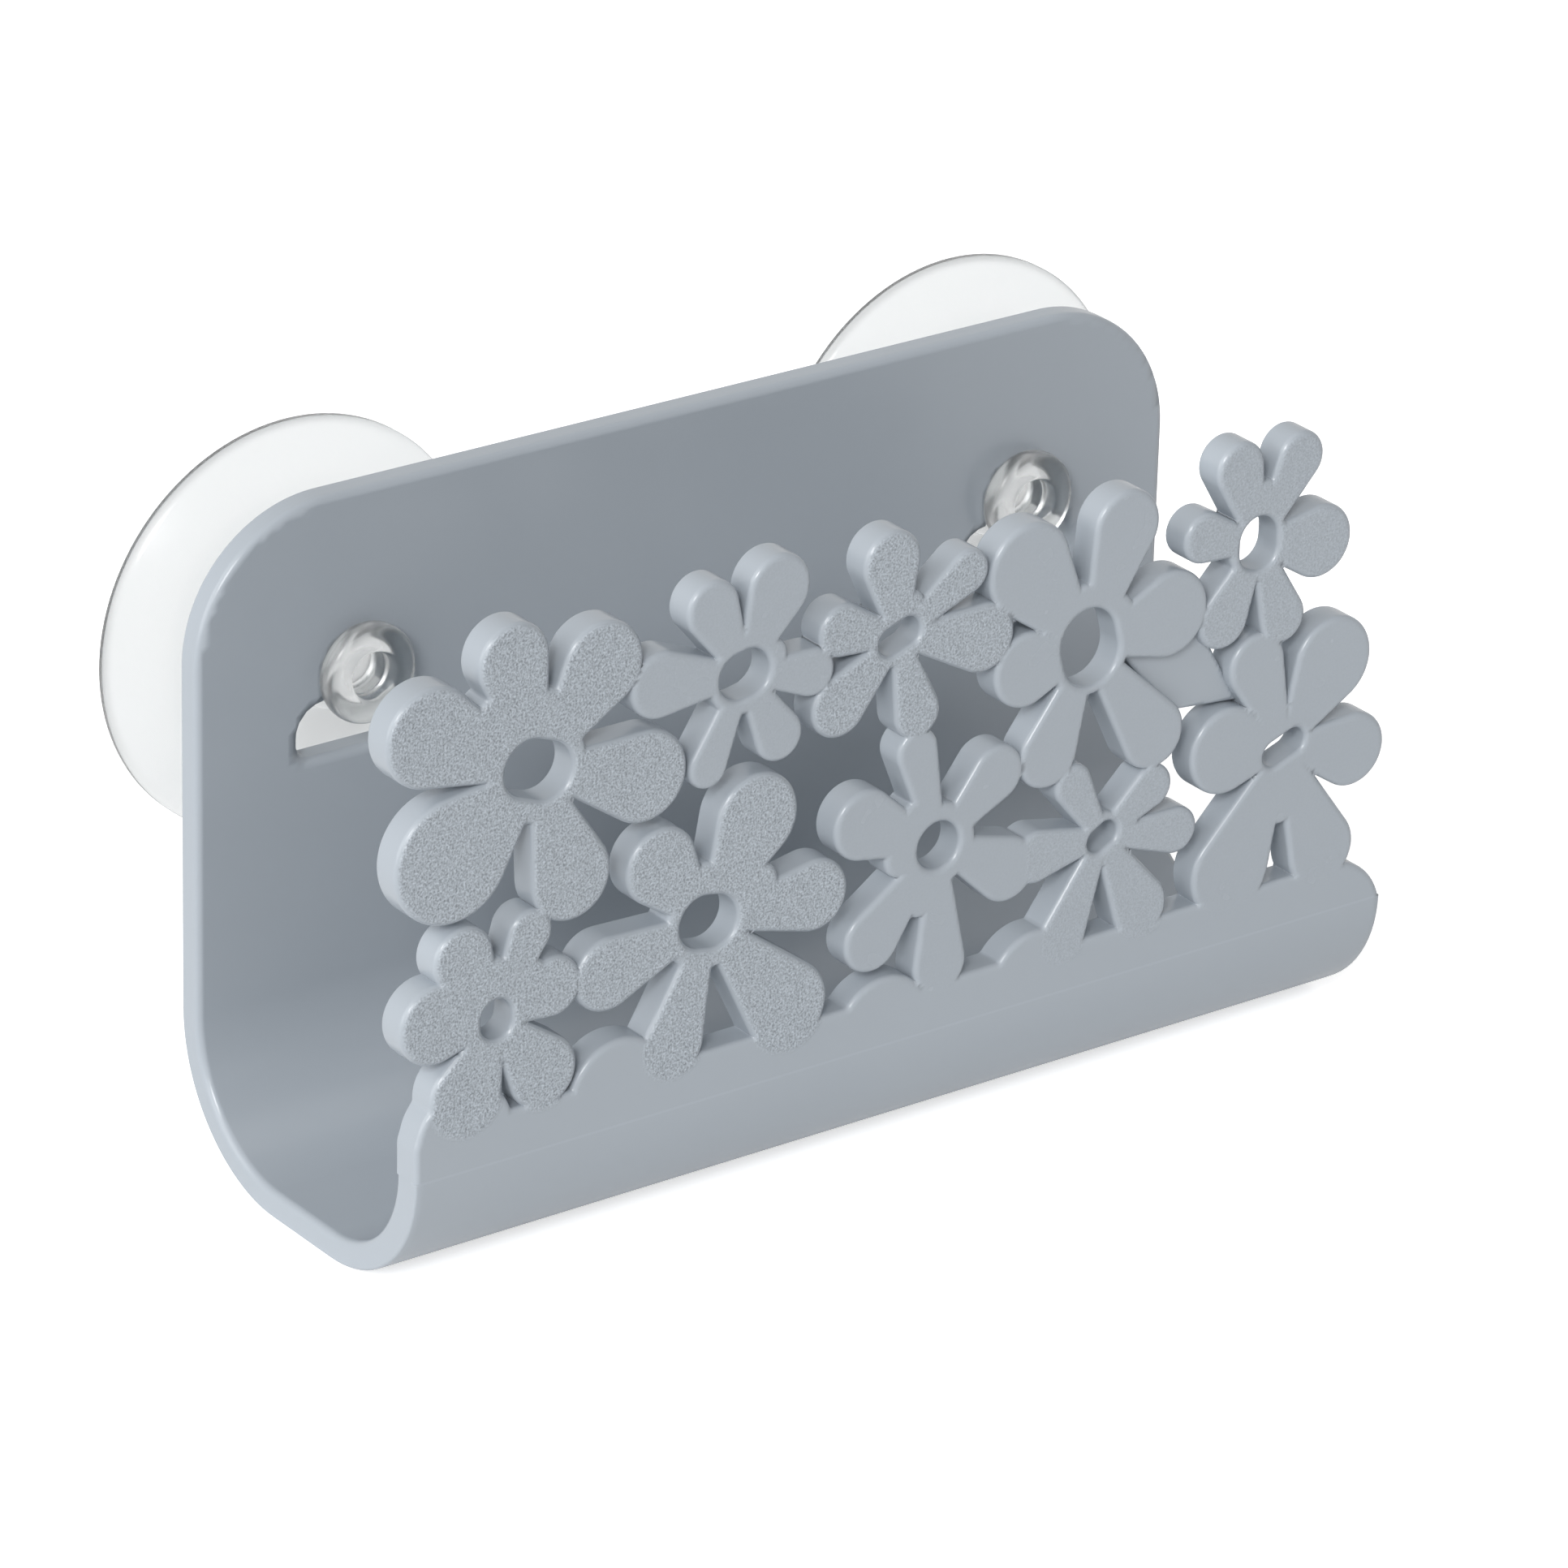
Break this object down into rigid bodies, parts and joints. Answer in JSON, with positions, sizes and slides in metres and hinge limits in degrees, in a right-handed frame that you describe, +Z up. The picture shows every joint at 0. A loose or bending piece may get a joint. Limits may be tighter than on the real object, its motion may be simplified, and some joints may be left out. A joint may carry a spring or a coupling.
{
  "type": "sponge holder",
  "caption": "Wall-hung sponge holder: a grey moulded plate bent into an open trough, with a cut-out flower screen in front, hung by keyholes on clear suction cups.",
  "frame": {"origin": "on the wall plane, midway between the axes of the suction cups", "axes": "+X to the right seen from the front, +Y towards the wall along the cup axes, +Z up"},
  "size_m": [0.1436, 0.0588, 0.0815],
  "materials": {
    "grey_plastic": "satin grey moulded plastic, finely grained on the flowers",
    "clear_vinyl": "clear soft vinyl"
  },
  "bodies": {
    "holder": {"holder_tray": "grey_plastic", "flower_screen": "grey_plastic"},
    "cup_left": {"suction_cup_left": "clear_vinyl"},
    "cup_right": {"suction_cup_right": "clear_vinyl"}
  },
  "joints": [
    {"name": "cup_left_slide", "type": "slide", "parent": "holder", "child": "cup_left", "axis": [0, 0, -1], "range_m": [0, 0.0055]},
    {"name": "cup_right_slide", "type": "slide", "parent": "holder", "child": "cup_right", "axis": [0, 0, -1], "range_m": [0, 0.0055]}
  ]
}
